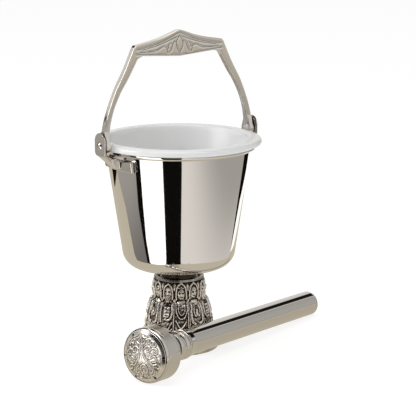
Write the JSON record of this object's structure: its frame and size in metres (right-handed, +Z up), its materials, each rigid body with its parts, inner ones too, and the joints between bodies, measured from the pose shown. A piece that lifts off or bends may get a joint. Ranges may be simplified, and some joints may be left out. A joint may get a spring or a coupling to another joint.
{
  "type": "holy water bucket with sprinkler",
  "caption": "Footed holy water bucket with swinging bail, lift-out liner and a figured foot, with its screw-head sprinkler lying beside it.",
  "frame": {"origin": "middle of the footprint of bucket and sprinkler together, on the table; the bucket's own axis stands at x -30.4 mm, y 11.1 mm", "axes": "+Z up; +X along the bail's two pivot pins; the sprinkler lies in front, on the -Y side, with its head towards -X"},
  "size_m": [0.2424, 0.1622, 0.2715],
  "materials": {
    "polished_nickel": "polished",
    "satin_nickel": "satin",
    "patina_nickel": "satin",
    "bright_steel": "satin",
    "white_plastic": "gloss",
    "black_rubber": "matte",
    "sponge": "matte"
  },
  "bodies": {
    "bucket": {"bucket_shell": "polished_nickel", "foot_casting": "patina_nickel", "neck_spacer": "satin_nickel", "tie_stud": "bright_steel", "foot_washer": "bright_steel", "foot_nut": "bright_steel", "left_bracket": "satin_nickel", "right_bracket": "satin_nickel", "left_pivot_pin": "satin_nickel", "right_pivot_pin": "satin_nickel"},
    "bail": {"bail": "satin_nickel"},
    "liner": {"liner": "white_plastic"},
    "sprinkler": {"handle_tube": "polished_nickel", "tail_plug": "polished_nickel", "neck_collar": "polished_nickel"},
    "head_seal": {"sealing_washer": "black_rubber"},
    "head": {"head_body": "polished_nickel", "face_plate": "satin_nickel", "sponge": "sponge"}
  },
  "joints": [
    {"name": "bail_pivot", "type": "hinge", "parent": "bucket", "child": "bail", "pos_m": [-0.03045, 0.01108, 0.182], "axis": [1, 0, 0], "range_deg": [-115, 115]},
    {"name": "liner_lift", "type": "slide", "parent": "bucket", "child": "liner", "axis": [0, 0, 1], "range_m": [0, 0.008]},
    {"name": "sprinkler_slide", "type": "slide", "parent": "bucket", "child": "sprinkler", "axis": [0.3173, -0.9483, 0], "range_m": [0, 0.15]},
    {"name": "head_travel", "type": "slide", "parent": "sprinkler", "child": "head_seal", "axis": [-0.947, -0.3169, 0.0519], "range_m": [0, 0.008]},
    {"name": "head_turn", "type": "hinge", "parent": "head_seal", "child": "head", "pos_m": [-0.11229, -0.0598, 0.02335], "axis": [-0.947, -0.3169, 0.0519], "range_deg": [0, 1440]}
  ],
  "couplings": [
    {"joint": "head_travel", "follows": "head_turn", "m_per_rad": 0.000318}
  ]
}
